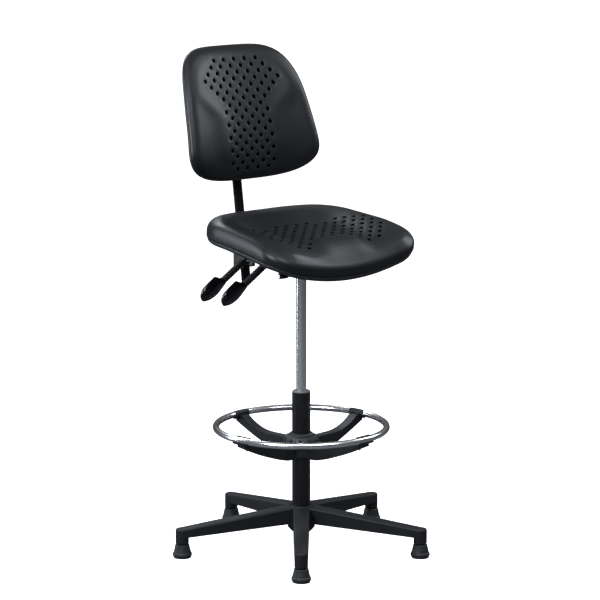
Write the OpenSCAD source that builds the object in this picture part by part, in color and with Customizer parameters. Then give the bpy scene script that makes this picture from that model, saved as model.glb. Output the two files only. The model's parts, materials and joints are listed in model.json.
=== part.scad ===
// Drafting chair: five-leg glide base, gas lift, foot ring, tilting seat and
// height-adjustable backrest. Units are millimetres, +Z up, the sitter faces -Y.
// The origin is on the floor at the middle of the chair's footprint.

/* [Base] */
// Distance from the column to the middle of each foot
foot_r = 335; // [300:1:360]
// How far the star base is turned about the column
base_turn = 13; // [10:1:16]
// Height of the top of the base hub
hub_top = 119; // [112:1:125]
// Width of a leg where it leaves the hub
leg_root_w = 46; // [42:1:50]
// Diameter of the leg's round end
leg_end_d = 36; // [32:1:40]

/* [Column] */
// Outer diameter of the lower column tube
column_d = 50; // [48:1:52]
// Height of the top of the column tube
column_top = 432; // [420:1:440]
// Diameter of the chromed gas cylinder
cylinder_d = 28; // [28:0.5:30]

/* [Foot ring] */
// Radius of the foot ring's centre line
ring_r = 230; // [215:1:240]
// Diameter of the foot ring's tube
ring_tube_d = 18; // [16:1:20]
// Height of the foot ring's centre line
ring_z = 336; // [325:1:345]
// How far the foot ring's arms are turned about the column
ring_turn = 6; // [0:1:12]

/* [Seat] */
// Forward slope of the seat at rest, in degrees
seat_pitch = 6; // [4:0.5:7]
// Half the width of the seat pad
seat_half_w = 243.5; // [236:0.5:250]
// How far the seat pad reaches in front of the column
seat_front = 194.6; // [188:0.2:200]
// How far the seat pad reaches behind the column
seat_rear = 216.3; // [208:0.1:222]

/* [Backrest] */
// Half the width of the backrest at its lower end, before its corners are rounded
back_half_w = 236.9; // [230:0.1:242]
// Lean of the back bar from the vertical, in degrees
bar_lean = 8; // [7:0.5:9]
// Width of the back bar
bar_w = 30; // [28:1:32]
// Thickness of the back bar
bar_t = 11; // [10:0.5:12]

/* [Levers] */
// Slope of the lever handles below the horizontal, in degrees
lever_slope = 32; // [30:1:35]
// Distance of the height lever behind the column
height_lever_y = 44; // [42:1:46]
// Distance of the tilt lever behind the column
tilt_lever_y = 131; // [128:1:134]

/* [Hidden] */
$fn = 64;

fit = 0.06;          // radial clearance of a running fit
gap = 0.4;           // clearance between plain neighbours
legs = 5;
arms = 4;

// Where the column stands so that the footprint's middle is the origin
foot_flange_r = 26;
leg_angles = [for (i = [0:legs - 1]) base_turn + i * 360 / legs];
feet_x = [for (a = leg_angles) foot_r * cos(a)];
feet_y = [for (a = leg_angles) foot_r * sin(a)];
column_x = -(max(feet_x) + min(feet_x)) / 2;
column_y = -(max(feet_y) + min(feet_y)) / 2;

// Base and column
column_r = column_d / 2;
leg_under = 74;
leg_fall = 3.07;
leg_end_z = 80;
post_bottom = 40;
stem_r = 5;
hub_r = 37;
hub_bottom = 47;
tube_wall = 2;
cylinder_r = cylinder_d / 2;
cylinder_bottom = 345;
cylinder_top = 785;
cylinder_bore_r = cylinder_r - 2;
rod_r = 5;

// Tilt mechanism: the axle that the seat and the back both turn on
axle_y = 33;
axle_z = 748;
axle_r = 5;
housing_w = 30;
housing_floor = 757;
housing_top = 792;
plate_bottom = 830;
lever_z = 786;
lever_pivot_x = -22;
lever_bend_x = -82;
lever_r = 4;
sleeve_r = 9.8;
sleeve_start = 12;
sleeve_length = 84;

// Seat, described level and then pitched forward about the axle
seam_z = 851;
seam_front_fall = 79.9;
seam_rear_fall = 14.1;
band_h = 14.7;
band_inset = 10.5;
roll_w = 34;
seat_front_r = 71.2;
seat_rear_r = 133.1;
seat_bow = 9.9;
seat_widening = 0.4265;
bowl_z = 877;
board_t = 14;
board_half_w = 190;
board_front = 128;
board_rear = 168;
board_r = 80;

// Backrest surface: its front at mid-width leans back above the lumbar point
lumbar_z = 1040;
lumbar_y = 199;
back_bottom = 985.1;
back_top = 1342;
back_wide_z = 1091.8;
back_taper = 43.4;
back_thickness = 40;
back_roll = 35;
shell_depth = 32;
shell_gap = 0.8;
bar_foot_y = 229;
bar_foot_z = 702;
bar_length = 410;

module on_column() {
    translate([column_x, column_y, 0]) children();
}

module around(count, radius, turn) {
    for (i = [0:count - 1])
        rotate(turn + i * 360 / count)
            translate([radius, 0, 0]) children();
}

module ring(outer, inner, bottom, top) {
    translate([0, 0, bottom])
        difference() {
            cylinder(r = outer, h = top - bottom);
            translate([0, 0, -1]) cylinder(r = inner, h = top - bottom + 2);
        }
}

module at_axle() {
    translate([0, axle_y, axle_z]) children();
}

module pitched() {
    at_axle() rotate([seat_pitch, 0, 0]) translate([0, -axle_y, -axle_z]) children();
}

module along_x(radius, from, to) {
    translate([from, 0, 0]) rotate([0, 90, 0]) cylinder(r = radius, h = to - from);
}

module along_y(radius, from, to) {
    translate([0, to, 0]) rotate([90, 0, 0]) cylinder(r = radius, h = to - from);
}

// ---------- base ----------

leg_slope = atan((hub_top - 2 - leg_end_z) / (foot_r - 30));
leg_taper = atan((leg_root_w - leg_end_d) / 2 / foot_r);

// Corner points of a rounded shoulder: from straight out to straight up
function shoulder(x, y, r) = [for (t = [0:18:90]) [x - r + r * cos(t), y - r + r * sin(t)]];

// One flank of a leg: a bar with a rounded top edge that follows the leg's slope
module leg_bar() {
    flank = leg_root_w / 2;
    depth = 90;
    translate([foot_r, 0, leg_end_z])
        rotate([0, leg_slope, 0])
            translate([-foot_r - 10, 0, 0])
                rotate([90, 0, 90])
                    linear_extrude(height = foot_r + 10)
                        polygon(concat([[-40, 0], [-40, -depth], [flank, -depth]], shoulder(flank, 0, 5)));
}

module leg_body() {
    intersection() {
        rotate(-leg_taper) leg_bar();
        mirror([0, 1, 0]) rotate(-leg_taper) leg_bar();
        translate([0, 0, leg_under])
            rotate([0, leg_fall, 0])
                translate([-20, -50, 0]) cube([foot_r + 60, 100, 90]);
    }
}

module leg_post() {
    rotate_extrude()
        polygon(concat([[0, leg_end_z], [0, post_bottom], [leg_end_d / 2, post_bottom]],
                       shoulder(leg_end_d / 2, leg_end_z, 5)));
}

module leg_pocket() {
    pocket_w = 28;
    translate([0, pocket_w / 2, 0])
        rotate([90, 0, 0])
            linear_extrude(height = pocket_w)
                polygon([[62, hub_bottom], [foot_r - 34, hub_bottom],
                         [foot_r - 34, leg_end_z - 4], [62, hub_top - 14]]);
}

module hub_body() {
    rotate_extrude($fn = 96)
        polygon([[0, hub_bottom], [hub_r - 10, hub_bottom], [hub_r, hub_bottom + 11],
                 [hub_r, hub_top - 8], [hub_r - 4, hub_top], [0, hub_top]]);
}

module hub_ribs() {
    rib_w = 5;
    around(legs, 0, base_turn + 180 / legs)
        translate([hub_r - 4, -rib_w / 2, hub_bottom + 14]) cube([11, rib_w, 40]);
}

module star_base() {
    color([0.10, 0.10, 0.11])
        on_column()
            difference() {
                union() {
                    around(legs, 0, base_turn) leg_body();
                    around(legs, foot_r, base_turn) leg_post();
                    hub_body();
                    hub_ribs();
                }
                around(legs, 0, base_turn) leg_pocket();
                around(legs, foot_r, base_turn)
                    translate([0, 0, post_bottom - 1]) cylinder(r = stem_r, h = 26);
                translate([0, 0, hub_bottom - 1]) cylinder(r = column_r, h = hub_top);
            }
}

module foot_stems() {
    color([0.05, 0.05, 0.05])
        on_column()
            around(legs, foot_r, base_turn)
                rotate_extrude()
                    polygon([[0, 22], [stem_r, 22], [stem_r, 36], [13, 36], [13, post_bottom],
                             [stem_r, post_bottom], [stem_r, 68], [0, 68]]);
}

module foot_bells() {
    color([0.16, 0.16, 0.17])
        on_column()
            around(legs, foot_r, base_turn)
                rotate_extrude($fn = 72)
                    polygon([[stem_r, 22], [18, 22], [22, 6], [24, 4], [25.4, 5.2],
                             [foot_flange_r, 8], [foot_flange_r, 10.5], [25.2, 13.2],
                             [23.6, 15], [22.8, 18], [20.4, 28.6], [19.4, 34.8], [18.2, 36], [stem_r, 36]]);
}

module foot_soles() {
    color([0.22, 0.22, 0.23])
        on_column()
            around(legs, foot_r, base_turn)
                rotate_extrude()
                    polygon([[0, 0], [23, 0], [23.6, 0.8], [23.6, 3.8], [22, 5.6], [18.2, 20.6], [0, 20.6]]);
}

module column_tube() {
    color([0.06, 0.06, 0.065])
        on_column() ring(column_r, column_r - tube_wall, 50, column_top);
}

module column_bushing() {
    bush_r = column_r - tube_wall;
    color([0.62, 0.63, 0.64])
        on_column()
            rotate_extrude()
                polygon([[cylinder_r + fit, 338], [bush_r, 338], [bush_r, column_top],
                         [column_r - 0.4, column_top], [column_r - 1.4, column_top + 3],
                         [cylinder_r + 2, column_top + 3.6], [cylinder_r + fit, column_top + 2]]);
}

module tube_foot() {
    color([0.45, 0.46, 0.47])
        on_column() ring(column_r - tube_wall, rod_r + fit, 53, 59);
}

module buffer() {
    color([0.08, 0.08, 0.08])
        on_column() ring(17, rod_r + 1, 59, 69);
}

module thrust_bearing() {
    color([0.7, 0.7, 0.72])
        on_column() {
            ring(14, rod_r + 0.6, 69, 71);
            around(10, 9.8, 0) translate([0, 0, 73]) sphere(r = 2, $fn = 24);
            ring(14, rod_r + 0.6, 75, 77);
        }
}

// ---------- gas spring ----------

module piston_rod() {
    color([0.8, 0.8, 0.82])
        on_column()
            rotate_extrude()
                polygon([[0, 46], [rod_r - 1, 46], [rod_r, 47], [rod_r, 50], [rod_r - 1, 50],
                         [rod_r - 1, 52], [rod_r, 52], [rod_r, 392], [0, 392]]);
}

module piston_head() {
    color([0.3, 0.3, 0.32])
        on_column() ring(cylinder_bore_r - fit, rod_r, 372, 390);
}

module rod_clip() {
    color([0.5, 0.5, 0.52])
        on_column() ring(9, rod_r - 1, 50.2, 51.8);
}

module gas_cylinder() {
    color([0.85, 0.86, 0.87])
        on_column()
            difference() {
                rotate_extrude($fn = 96)
                    polygon([[0, cylinder_bottom], [cylinder_r - 1, cylinder_bottom],
                             [cylinder_r, cylinder_bottom + 1], [cylinder_r, 752],
                             [cylinder_r - 1.2, cylinder_top], [0, cylinder_top]]);
                translate([0, 0, cylinder_bottom - 1]) cylinder(r = rod_r + fit, h = 10);
                translate([0, 0, cylinder_bottom + 5]) cylinder(r = cylinder_bore_r, h = 397);
                translate([0, 0, 759]) cylinder(r = 3 + fit, h = 30);
            }
}

module release_pin() {
    color([0.75, 0.75, 0.76])
        on_column() translate([0, 0, 764.5]) cylinder(r = 3, h = 28.5);
}

// ---------- foot ring ----------

module foot_ring() {
    color([0.88, 0.89, 0.9])
        on_column()
            translate([0, 0, ring_z])
                rotate_extrude($fn = 128)
                    translate([ring_r, 0]) circle(d = ring_tube_d, $fn = 48);
}

// Height of an arm's underside and of its top edge at a distance from the column
function arm_low(r) = 253 + 59 * pow(max(0, r - 58) / 163, 1.35);
function arm_high(r) = 300 + 28 * pow(max(0, r - 113) / 89, 2.2);

// Side outline of one arm: level beside the hub, then swept up to the ring
module arm_outline() {
    root = 49.5;
    low = [for (r = [root:12:ring_r]) [r, arm_low(r)]];
    high = [for (r = [ring_r - 20:-12:root]) [r, arm_high(r)]];
    step = [[root, arm_high(root)], [root, 286], [24, 286], [24, 253]];
    polygon(concat(low, [[ring_r + 2, arm_low(ring_r)], [ring_r + 2, ring_z]], high, step));
}

module ring_spider() {
    arm_w = 28;
    boss_turn = 231;
    color([0.12, 0.12, 0.13])
        on_column()
            difference() {
                union() {
                    around(arms, 0, ring_turn)
                        translate([0, arm_w / 2, 0])
                            rotate([90, 0, 0])
                                linear_extrude(height = arm_w) arm_outline();
                    rotate_extrude($fn = 96)
                        polygon([[0, 250], [28.5, 250], [30, 251.5], [30, 287.6], [0, 287.6]]);
                    rotate(boss_turn) translate([20, -14, 256]) cube([15, 28, 29]);
                }
                translate([0, 0, 240]) cylinder(r = column_r + fit, h = 70);
                translate([0, 0, ring_z])
                    rotate_extrude($fn = 128) translate([ring_r, 0]) circle(r = 13.2, $fn = 48);
                around(arms, ring_r - 19, ring_turn)
                    translate([0, 0, 295]) cylinder(r = 3, h = 17);
            }
}

module ring_clips() {
    clip_angle = 12;
    outer = 13;
    color([0.10, 0.10, 0.11])
        on_column()
            for (i = [0:arms - 1])
                rotate(ring_turn + i * 360 / arms - clip_angle / 2)
                    translate([0, 0, ring_z])
                        rotate_extrude(angle = clip_angle, $fn = 128)
                            difference() {
                                translate([ring_r, 0]) circle(r = outer, $fn = 48);
                                translate([ring_r, 0]) circle(d = ring_tube_d, $fn = 48);
                                translate([ring_r + 2, -6]) square([20, 30]);
                                translate([ring_r - 20, 9.6]) square([40, 20]);
                            }
}

module clip_screws() {
    color([0.3, 0.3, 0.31])
        on_column()
            around(arms, ring_r - 19, ring_turn)
                translate([0, 0, 304]) cylinder(r = 3, h = 8);
}

module lock_collar() {
    color([0.17, 0.17, 0.18])
        on_column()
            difference() {
                rotate_extrude($fn = 96)
                    polygon([[0, 288], [45, 288], [48, 291], [48, 303], [44, 311], [34, 313],
                             [33, 317], [31, 319], [0, 319]]);
                translate([0, 0, 280]) cylinder(r = column_r + fit, h = 50);
                around(12, 50.5, 15) translate([0, 0, 284]) cylinder(r = 5, h = 24);
            }
}

// ---------- tilt mechanism ----------

module housing_channel() {
    wall = 3;
    front = -70;
    step_y = 58;
    rear = 150;
    tail_floor = 775;
    difference() {
        union() {
            translate([-housing_w, front, housing_floor])
                cube([2 * housing_w, step_y - front, housing_top - housing_floor]);
            translate([-housing_w, step_y - 1, tail_floor])
                cube([2 * housing_w, rear - step_y + 1, housing_top - tail_floor]);
        }
        translate([-housing_w + wall, front + wall, housing_floor + wall])
            cube([2 * (housing_w - wall), step_y - front - 2 * wall, 60]);
        translate([-housing_w + wall, step_y - wall - 1, tail_floor + wall])
            cube([2 * (housing_w - wall), rear - step_y + 1, 60]);
    }
}

module housing_ears() {
    for (side = [-1, 1])
        at_axle()
            translate([side * (housing_w - 3) - 3, 0, 0]) {
                along_x(9, 0, 6);
                translate([0, -9, 0]) cube([6, 18, 12]);
            }
}

module lever_lugs(y) {
    for (side = [-1, 1])
        translate([lever_pivot_x - 5, y + side * 9 - 1.5, housing_floor + 1])
            cube([10, 3, lever_z + 5 - housing_floor]);
}

module mechanism_housing() {
    color([0.07, 0.07, 0.075])
        on_column()
            difference() {
                union() {
                    housing_channel();
                    housing_ears();
                    for (y = [height_lever_y, tilt_lever_y])
                        intersection() {
                            lever_lugs(y);
                            translate([-housing_w, y - 15, y < 100 ? housing_floor : 776])
                                cube([60, 30, 60]);
                        }
                }
                at_axle() along_x(axle_r, -40, 40);
                translate([0, 0, housing_floor - 1]) cylinder(r = 21, h = 6);
                for (y = [height_lever_y, tilt_lever_y])
                    translate([0, y, lever_z]) {
                        along_x(lever_r + 2.2, -housing_w - 1, -housing_w + 4);
                        translate([lever_pivot_x, 0, 0]) along_y(2.5, -12, 12);
                    }
            }
}

module cone_socket() {
    color([0.12, 0.12, 0.125])
        on_column()
            rotate_extrude()
                polygon([[cylinder_r, 752], [20.9, 752], [20.9, 780], [19, 783],
                         [cylinder_r - 1.2, 783]]);
}

module pivot_axle() {
    color([0.75, 0.76, 0.77])
        on_column()
            at_axle() along_x(axle_r, -52, 50);
}

module axle_nuts() {
    color([0.07, 0.07, 0.07])
        on_column()
            at_axle()
                for (x = [-48, 41.2])
                    translate([x, 0, 0])
                        rotate([0, 90, 0])
                            difference() {
                                cylinder(r = 9, h = 6.8, $fn = 6);
                                translate([0, 0, -1]) cylinder(r = axle_r, h = 10);
                            }
}

// A round tube swept along a list of points, for the coil of the spring
function unit(v) = v / norm(v);
function coil_point(t, r, turns, length) = [length * t, r * cos(360 * turns * t), r * sin(360 * turns * t)];

module coil(r, wire_r, turns, length) {
    steps = 76;
    sides = 8;
    rings = [for (i = [0:steps])
        let (t = i / steps,
             p = coil_point(t, r, turns, length),
             out = unit([0, p[1], p[2]]),
             tangent = unit(coil_point(t + 0.001, r, turns, length) - p),
             up = cross(tangent, out))
        [for (k = [0:sides - 1]) p + wire_r * (out * cos(360 * k / sides) + up * sin(360 * k / sides))]];
    points = [for (one = rings) each one];
    skin = [for (i = [0:steps - 1], k = [0:sides - 1])
        [i * sides + k, i * sides + (k + 1) % sides, (i + 1) * sides + (k + 1) % sides, (i + 1) * sides + k]];
    first = [[for (k = [sides - 1:-1:0]) k]];
    last = [[for (k = [0:sides - 1]) steps * sides + k]];
    polyhedron(points = points, faces = concat(skin, first, last), convexity = 6);
}

module tilt_spring() {
    color([0.35, 0.36, 0.37])
        on_column()
            at_axle() translate([-18, 0, 0]) coil(7.2, 1.3, 8, 36);
}

module lever_pins() {
    color([0.6, 0.6, 0.62])
        on_column()
            for (y = [height_lever_y, tilt_lever_y])
                translate([lever_pivot_x, y, lever_z]) along_y(2.5, -11, 11);
}

// ---------- levers ----------

module at_handle(y) {
    translate([lever_bend_x, y, lever_z])
        rotate([0, -90 - lever_slope, 0])
            children();
}

module lever_rod(y) {
    difference() {
        union() {
            translate([0, y, lever_z]) along_x(lever_r, lever_bend_x, lever_pivot_x);
            translate([lever_bend_x, y, lever_z]) sphere(r = lever_r);
            at_handle(y) cylinder(r = lever_r, h = sleeve_start + sleeve_length + 18);
            translate([lever_pivot_x, y, lever_z]) along_y(4.6, -7, 7);
        }
        translate([lever_pivot_x, y, lever_z]) along_y(2.5 + fit, -8, 8);
    }
}

// Ribbed rubber sleeve, turned about the handle
module lever_sleeve(y) {
    ribs = 11;
    pitch = sleeve_length / ribs;
    outline = [for (i = [0:ribs - 1])
        each [[sleeve_r - 3, i * pitch], [sleeve_r, (i + 0.3) * pitch], [sleeve_r, (i + 0.65) * pitch],
              [sleeve_r - 3, (i + 0.95) * pitch]]];
    at_handle(y)
        translate([0, 0, sleeve_start])
            rotate_extrude()
                polygon(concat([[lever_r, 0]], outline, [[lever_r, sleeve_length]]));
}

// Mussel-shaped grip: a flat lower edge and a full, curved upper edge
module lever_paddle(y) {
    at_handle(y)
        translate([0, 0, sleeve_start + sleeve_length])
            difference() {
                union() {
                    hull() {
                        translate([0, 0, 4]) sphere(r = 8.5, $fn = 28);
                        translate([-5, 0, 26]) scale([1, 0.62, 1]) sphere(r = 17, $fn = 32);
                        translate([-10, 0, 54]) scale([1, 0.5, 1]) sphere(r = 17, $fn = 32);
                        translate([9, 0, 20]) scale([1, 1.2, 1]) sphere(r = 8, $fn = 28);
                        translate([-8, 0, 69]) scale([1, 0.6, 1]) sphere(r = 10, $fn = 28);
                    }
                    cylinder(r = 10, h = 6);
                }
                translate([0, 0, -20]) cylinder(r = lever_r, h = 38);
                translate([0, 0, -40]) cylinder(r = 30, h = 40);
            }
}

// Finger that presses the release pin when the height lever is lifted
module height_finger() {
    finger_z = 794;
    translate([0, 0, finger_z])
        linear_extrude(height = 3.5)
            polygon([[lever_pivot_x - 4, height_lever_y - 6], [lever_pivot_x + 5, height_lever_y - 6],
                     [4, 4], [4, -4], [-4, -4]]);
    translate([lever_pivot_x - 4, height_lever_y - 6, lever_z]) cube([8, 12, finger_z + 3.5 - lever_z]);
}

module height_rod() {
    color([0.08, 0.08, 0.08])
        on_column() {
            difference() {
                union() {
                    lever_rod(height_lever_y);
                    height_finger();
                }
                translate([lever_pivot_x, height_lever_y, lever_z]) along_y(2.5 + fit, -8, 8);
            }
        }
}

module height_sleeve() {
    color([0.05, 0.05, 0.05]) on_column() lever_sleeve(height_lever_y);
}

module height_paddle() {
    color([0.09, 0.09, 0.1]) on_column() lever_paddle(height_lever_y);
}

module tilt_rod() {
    color([0.08, 0.08, 0.08]) on_column() lever_rod(tilt_lever_y);
}

module tilt_sleeve() {
    color([0.05, 0.05, 0.05]) on_column() lever_sleeve(tilt_lever_y);
}

module tilt_paddle() {
    color([0.09, 0.09, 0.1]) on_column() lever_paddle(tilt_lever_y);
}

// ---------- seat ----------

module seat_cheek() {
    linear_extrude(height = 3)
        difference() {
            union() {
                circle(r = 9);
                polygon([[-9, 0], [7, 5], [-2, plate_bottom - axle_z], [-52, plate_bottom - axle_z]]);
            }
            circle(r = axle_r + fit);
        }
}

module seat_bracket() {
    plate_half_x = 140;
    plate_front = -92;
    plate_rear = 118;
    color([0.07, 0.07, 0.075])
        on_column()
            pitched() {
                difference() {
                    translate([-plate_half_x, plate_front, plate_bottom])
                        cube([2 * plate_half_x, plate_rear - plate_front, 4]);
                    for (x = [-70, 70], y = [-76, 102])
                        translate([x, y, plate_bottom - 1]) cylinder(r = 3.2, h = 6);
                }
                for (x = [-34.6, 31.6])
                    translate([x, axle_y, axle_z]) rotate([90, 0, 90]) seat_cheek();
            }
}

module seat_screws() {
    color([0.6, 0.6, 0.62])
        on_column()
            pitched()
                for (x = [-70, 70], y = [-76, 102])
                    translate([x, y, 0]) {
                        translate([0, 0, plate_bottom - 3]) cylinder(r = 6, h = 3);
                        translate([0, 0, plate_bottom - 0.5]) cylinder(r = 3, h = 14);
                    }
}

// Plan of the board: a rounded rectangle made of true arcs
module board_plan() {
    x = board_half_w - board_r;
    for (side = [-1, 1], y = [-board_front + board_r, board_rear - board_r])
        translate([side * x, y]) circle(r = board_r, $fn = 96);
    translate([-x, -board_front]) square([2 * x, board_front + board_rear]);
    translate([-board_half_w, -board_front + board_r])
        square([2 * board_half_w, board_front + board_rear - 2 * board_r]);
}

// Distance to a rounded rectangle's outline at a compass angle
function plan_radius(a, half_w, reach, r) =
    let (c = abs(cos(a)),
         s = abs(sin(a)),
         t = min(half_w / max(c, 0.001), reach / max(s, 0.001)),
         dx = half_w - r,
         dy = reach - r,
         b = dx * c + dy * s)
    t * c <= dx || t * s <= dy ? t : b + sqrt(b * b - dx * dx - dy * dy + r * r);

// Outline of the seat in plan, wider and slightly bowed at the front
function seat_edge(a, inset) =
    let (front = sin(a) < 0,
         r = plan_radius(a, seat_half_w - inset, (front ? seat_front : seat_rear) - inset,
                         (front ? seat_front_r : seat_rear_r) - inset),
         x = r * cos(a),
         y = r * sin(a),
         bowed = y - seat_bow * max(0, 1 - pow(x / seat_half_w, 2)) * min(1, max(0, (-y - 50) / 190)))
    [x * (1 - seat_widening * bowed / 1000), bowed];

// Outline of the board, a little enlarged so that its neighbours stay clear
function board_edge(a) =
    let (extra = 1.2,
         reach = sin(a) < 0 ? board_front : board_rear,
         r = plan_radius(a, board_half_w + extra, reach + extra, board_r + extra))
    [r * cos(a), r * sin(a)];

// Height of the seam between pad and band, which falls towards the front and the rear
function seat_seam(p) =
    seam_z - seam_front_fall * pow(max(0, -p[1] - 60) / 180, 2) * (1 - 0.704 * pow(p[0] / seat_half_w, 2))
    - seam_rear_fall * pow(max(0, p[1] - 50) / 150, 2);

// Height of the pad's rolled edge above the seam
function edge_height(p) =
    50.3 + 8.6 * smooth((p[1] - 50) / 150) * (1 - 0.5 * pow(p[0] / seat_half_w, 4))
    - 8.7 * smooth((-p[1] - 50) / 150);

// Top of the pad inside the edge: a bowl with a hump between the thighs
function bowl(x, y) =
    bowl_z + 22 * smooth(norm([max(0, abs(x) - 100) / 115, max(0, y - 45) / 110]))
    + 14 * smooth((-y - 82 - x * x / 400) / 40) * smooth((110 - abs(x)) / 65);

seat_sides = 64;
seat_angles = [for (k = [0:seat_sides - 1]) 360 * k / seat_sides];

// One ring of the pad's edge, at a share of its height above the seam
function edge_ring(share, inset) = [for (a = seat_angles)
    let (p = seat_edge(a, inset), rim = seat_edge(a, 0))
    [p[0], p[1], seat_seam(rim) + share * edge_height(rim)]];

// How far the edge rolls over: level at the sides and rear, still sloping at the front
function roll_turn(a) = 90 - 50 * smooth((-sin(a) - 0.35) / 0.4);
flat_share = 0.35;
function roll_inset(t) = roll_w * (1 - cos(t));
function roll_share(t) = flat_share + (1 - flat_share) * sin(t);

// One ring of the rolled edge, at a share of its turn
function roll_ring(s) = [for (a = seat_angles)
    let (t = s * roll_turn(a), p = seat_edge(a, roll_inset(t)), rim = seat_edge(a, 0))
    [p[0], p[1], seat_seam(rim) + roll_share(t) * edge_height(rim)]];

// One ring of the pad's top, at a share of the distance to the edge's crest
function top_ring(share) = [for (a = seat_angles)
    let (t = roll_turn(a),
         p = seat_edge(a, roll_inset(t)),
         rim = seat_edge(a, 0),
         crest = seat_seam(rim) + roll_share(t) * edge_height(rim),
         inner = bowl(p[0] * share, p[1] * share),
         w = pow(max(0, (share - 0.5) / 0.5), 2))
    [p[0] * share, p[1] * share, inner * (1 - w) + crest * w]];

// Skin between neighbouring rings of points; the first point is left for a centre
function ring_skin(rows, sides) = [for (i = [0:rows - 2], k = [0:sides - 1]) each
    [[1 + i * sides + k, 1 + i * sides + (k + 1) % sides, 1 + (i + 1) * sides + (k + 1) % sides],
     [1 + i * sides + k, 1 + (i + 1) * sides + (k + 1) % sides, 1 + (i + 1) * sides + k]]];
function first_fan(sides) = [for (k = [0:sides - 1]) [0, 1 + (k + 1) % sides, 1 + k]];
function last_fan(rows, sides) = [for (k = [0:sides - 1])
    [1 + (rows - 1) * sides + k, 1 + (rows - 1) * sides + (k + 1) % sides, 1 + rows * sides]];

module seat_board() {
    screw_depth = board_t - 3.2;
    color([0.05, 0.05, 0.05])
        on_column()
            pitched()
                translate([0, 0, plate_bottom + 4])
                    difference() {
                        linear_extrude(height = board_t) board_plan();
                        for (x = [-70, 70], y = [-76, 102])
                            translate([x, y, -1]) cylinder(r = 3, h = screw_depth);
                    }
}

module seat_pan() {
    top = plate_bottom + 4 + board_t;
    n = seat_sides;
    outer_top = [for (p = edge_ring(0, 2)) [p[0], p[1], p[2] - gap]];
    inner_top = [for (a = seat_angles) [board_edge(a)[0], board_edge(a)[1], top]];
    inner_low = [for (p = inner_top) [p[0], p[1], plate_bottom + 4]];
    outer_low = [for (p = edge_ring(0, band_inset)) [p[0], p[1], p[2] - band_h]];
    points = concat(outer_top, inner_top, inner_low, outer_low);
    skin = [for (i = [0:3], k = [0:n - 1])
        let (a = i * n, b = (i + 1) % 4 * n, m = (k + 1) % n) each
        [[a + k, b + m, a + m], [a + k, b + k, b + m]]];
    color([0.14, 0.14, 0.15])
        on_column() pitched() polyhedron(points = points, faces = skin, convexity = 4);
}

module seat_pad() {
    under = plate_bottom + 4 + board_t + gap;
    crown = [for (s = [0.15, 0.3, 0.45, 0.6, 0.72, 0.82, 0.91]) top_ring(s)];
    edge = [for (s = [6:-1:0]) roll_ring(s / 6)];
    low = [edge_ring(0, 2), [for (a = seat_angles) [board_edge(a)[0], board_edge(a)[1], under]]];
    rings = concat(crown, edge, low);
    points = concat([[0, 0, bowl(0, 0)]], [for (one = rings) each one], [[0, 0, under]]);
    faces = concat(first_fan(seat_sides), ring_skin(len(rings), seat_sides), last_fan(len(rings), seat_sides));
    color([0.09, 0.09, 0.10])
        on_column() pitched() polyhedron(points = points, faces = faces, convexity = 4);
}

// ---------- back carrier ----------

module arm_profile() {
    linear_extrude(height = 3.5)
        difference() {
            union() {
                circle(r = 9);
                polygon([[0, -9], [28, 19], [186, 20], [186, 31], [30, 31], [-4, 8]]);
            }
            circle(r = axle_r + fit);
        }
}

module back_arms() {
    color([0.07, 0.07, 0.075])
        on_column() {
            for (x = [-39.6, 36.1])
                translate([x, axle_y, axle_z]) rotate([90, 0, 90]) arm_profile();
            translate([-39.6, 207, 768]) cube([79.2, 9.6, 11]);
        }
}

// Frame of the back bar: its lower end at the origin, the bar rising along Z
module on_bar() {
    translate([0, bar_foot_y, bar_foot_z]) rotate([-bar_lean, 0, 0]) children();
}

module bar_section(extra) {
    w = bar_w / 2 + extra;
    t = bar_t / 2 + extra;
    translate([-w + t, -t]) square([2 * (w - t), 2 * t]);
    for (side = [-1, 1])
        translate([side * (w - t), 0]) circle(r = t);
}

module bar_clamp() {
    color([0.06, 0.06, 0.065])
        on_column()
            difference() {
                translate([-21, 216.6, 743]) cube([42, 42, 54]);
                on_bar() translate([0, 0, -10]) linear_extrude(height = 140) bar_section(0.25);
                translate([0, 0, 753]) along_y(3, 210, 228);
            }
}

module clamp_bolt() {
    color([0.8, 0.8, 0.82])
        on_column()
            translate([0, 0, 753]) {
                along_y(3, 211, 226.8);
                along_y(6.5, 208.5, 216.6);
            }
}

// ---------- backrest ----------

module back_bar() {
    color([0.05, 0.05, 0.055])
        on_column()
            on_bar() linear_extrude(height = bar_length) bar_section(0);
}

// Everything in front of the shell's rear face, for the socket to be cut to
module behind_shell() {
    rise = [for (z = [960:12:1176]) [back_front_y(0, z) + back_thickness + gap, z]];
    rotate([bar_lean, 0, 0])
        translate([0, -bar_foot_y, -bar_foot_z])
            translate([-50, 0, 0])
                rotate([90, 0, 90])
                    linear_extrude(height = 100) polygon(concat([[150, 960]], rise, [[150, 1176]]));
}

module bar_socket() {
    color([0.09, 0.09, 0.09])
        on_column()
            on_bar()
                difference() {
                    translate([-34, -40, 300]) cube([68, 53, 114]);
                    behind_shell();
                    translate([0, 0, 290]) linear_extrude(height = bar_length - 290) bar_section(0.05);
                    for (x = [-24, 24], z = [318, 396])
                        translate([x, 0, z]) along_y(2.5, -20, 20);
                }
}

module socket_screws() {
    color([0.6, 0.6, 0.62])
        on_column()
            on_bar()
                for (x = [-24, 24], z = [318, 396])
                    translate([x, 0, z]) {
                        along_y(2.5, -13, 13);
                        along_y(5, 13, 16);
                    }
}

function smooth(t) = let (c = min(1, max(0, t))) c * c * (3 - 2 * c);

// Front of the backrest at half-width x and height z
function back_front_y(x, z) =
    let (lean = 0.0186 * pow(max(0, z - lumbar_z), 1.5),
         wrap = (6.8e-4 + 1e-4 * smooth((z - 1150) / 110)) * x * x)
    lumbar_y + lean - wrap;

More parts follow.
